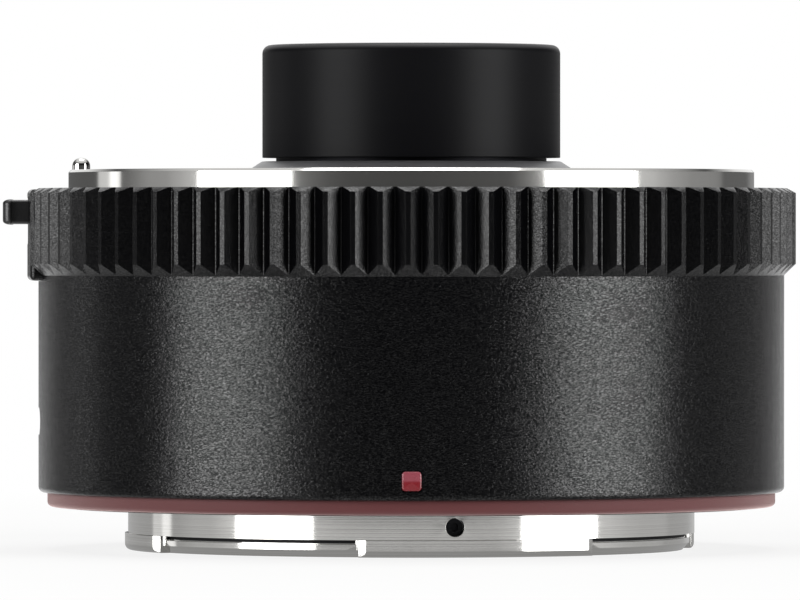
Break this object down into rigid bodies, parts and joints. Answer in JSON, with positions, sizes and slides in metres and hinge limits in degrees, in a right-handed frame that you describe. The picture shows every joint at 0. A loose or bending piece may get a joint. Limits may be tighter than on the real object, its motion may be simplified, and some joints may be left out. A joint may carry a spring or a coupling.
{
  "type": "camera teleconverter",
  "caption": "Short black optical converter barrel with a ribbed ring, a male bayonet at the rear, a female bayonet at the front, a release knob and a protruding lens hood.",
  "frame": {"origin": "centre of the rear flange plane, on the optical axis", "axes": "+Z along the optical axis to the front, -Y the side with the red index mark, -X the side with the release knob and the data port"},
  "size_m": [0.0752, 0.073, 0.0479],
  "materials": {
    "barrel_coat": "black wrinkle coat",
    "grip_coat": "fine black coat",
    "red_anodised": "matte red anodised",
    "red_bead": "glossy",
    "mount_chrome": "turned and plated",
    "steel": "bright",
    "blackened_steel": "blackened",
    "cast_alloy": "cast and tumbled",
    "hood_black": "satin black",
    "baffle_black": "matte black",
    "contact_plastic": "moulded",
    "contact_gold": "gold plated",
    "lens_glass": "polished and coated",
    "lens_alloy": "black anodised",
    "board_green": "solder mask",
    "chip_black": "moulded",
    "flex_film": "film",
    "socket_steel": "drawn",
    "socket_plastic": "moulded",
    "knob_black": "satin"
  },
  "bodies": {
    "housing": {"outer_barrel": "barrel_coat", "grip_ring": "grip_coat", "accent_ring": "red_anodised", "index_mark": "red_bead", "rear_mount": "mount_chrome", "front_mount": "mount_chrome", "rear_mount_screws": "steel", "front_mount_screws": "steel", "bayonet_springs": "steel", "rear_contact_screws": "steel", "front_contact_screws": "steel", "board_screws": "steel", "barrel_screws": "steel", "lock_spring": "steel", "stop_screw": "blackened_steel", "chassis": "cast_alloy", "rear_plate": "cast_alloy", "front_hood": "hood_black", "hood_collar": "hood_black", "front_baffle": "baffle_black", "rear_baffle": "baffle_black", "rear_contact_block": "contact_plastic", "front_contact_block": "contact_plastic", "rear_contact_pads": "contact_gold", "lens_1": "lens_glass", "lens_2": "lens_glass", "lens_3": "lens_glass", "lens_4": "lens_glass", "lens_5": "lens_glass", "lens_6": "lens_glass", "lens_7": "lens_glass", "lens_8": "lens_glass", "lens_barrel": "lens_alloy", "front_retaining_ring": "lens_alloy", "rear_retaining_ring": "lens_alloy", "spacer_1": "lens_alloy", "spacer_2": "lens_alloy", "spacer_3": "lens_alloy", "main_board": "board_green", "board_chips": "chip_black", "flex_cable": "flex_film", "usb_socket": "socket_steel", "usb_tongue": "socket_plastic", "release_frame": "knob_black"},
    "release": {"release_knob": "knob_black", "release_carriage": "steel", "release_screws": "steel", "lock_pin": "steel"},
    "contact_1": {"contact_pin_1": "contact_gold"},
    "contact_2": {"contact_pin_2": "contact_gold"},
    "contact_3": {"contact_pin_3": "contact_gold"},
    "contact_4": {"contact_pin_4": "contact_gold"},
    "contact_5": {"contact_pin_5": "contact_gold"},
    "contact_6": {"contact_pin_6": "contact_gold"},
    "contact_7": {"contact_pin_7": "contact_gold"},
    "contact_8": {"contact_pin_8": "contact_gold"},
    "contact_9": {"contact_pin_9": "contact_gold"},
    "contact_10": {"contact_pin_10": "contact_gold"},
    "contact_11": {"contact_pin_11": "contact_gold"}
  },
  "joints": [
    {"name": "release_slide", "type": "slide", "parent": "housing", "child": "release", "axis": [0, 0, -1], "range_m": [0, 0.0016], "stiffness_N_per_m": 900, "springref_m": -0.001, "deforming": ["lock_spring"]},
    {"name": "contact_slide_1", "type": "slide", "parent": "housing", "child": "contact_1", "axis": [0, 0, -1], "range_m": [0, 0.0008], "stiffness_N_per_m": 250, "springref_m": -0.0006},
    {"name": "contact_slide_2", "type": "slide", "parent": "housing", "child": "contact_2", "axis": [0, 0, -1], "range_m": [0, 0.0008], "stiffness_N_per_m": 250, "springref_m": -0.0006},
    {"name": "contact_slide_3", "type": "slide", "parent": "housing", "child": "contact_3", "axis": [0, 0, -1], "range_m": [0, 0.0008], "stiffness_N_per_m": 250, "springref_m": -0.0006},
    {"name": "contact_slide_4", "type": "slide", "parent": "housing", "child": "contact_4", "axis": [0, 0, -1], "range_m": [0, 0.0008], "stiffness_N_per_m": 250, "springref_m": -0.0006},
    {"name": "contact_slide_5", "type": "slide", "parent": "housing", "child": "contact_5", "axis": [0, 0, -1], "range_m": [0, 0.0008], "stiffness_N_per_m": 250, "springref_m": -0.0006},
    {"name": "contact_slide_6", "type": "slide", "parent": "housing", "child": "contact_6", "axis": [0, 0, -1], "range_m": [0, 0.0008], "stiffness_N_per_m": 250, "springref_m": -0.0006},
    {"name": "contact_slide_7", "type": "slide", "parent": "housing", "child": "contact_7", "axis": [0, 0, -1], "range_m": [0, 0.0008], "stiffness_N_per_m": 250, "springref_m": -0.0006},
    {"name": "contact_slide_8", "type": "slide", "parent": "housing", "child": "contact_8", "axis": [0, 0, -1], "range_m": [0, 0.0008], "stiffness_N_per_m": 250, "springref_m": -0.0006},
    {"name": "contact_slide_9", "type": "slide", "parent": "housing", "child": "contact_9", "axis": [0, 0, -1], "range_m": [0, 0.0008], "stiffness_N_per_m": 250, "springref_m": -0.0006},
    {"name": "contact_slide_10", "type": "slide", "parent": "housing", "child": "contact_10", "axis": [0, 0, -1], "range_m": [0, 0.0008], "stiffness_N_per_m": 250, "springref_m": -0.0006},
    {"name": "contact_slide_11", "type": "slide", "parent": "housing", "child": "contact_11", "axis": [0, 0, -1], "range_m": [0, 0.0008], "stiffness_N_per_m": 250, "springref_m": -0.0006}
  ]
}
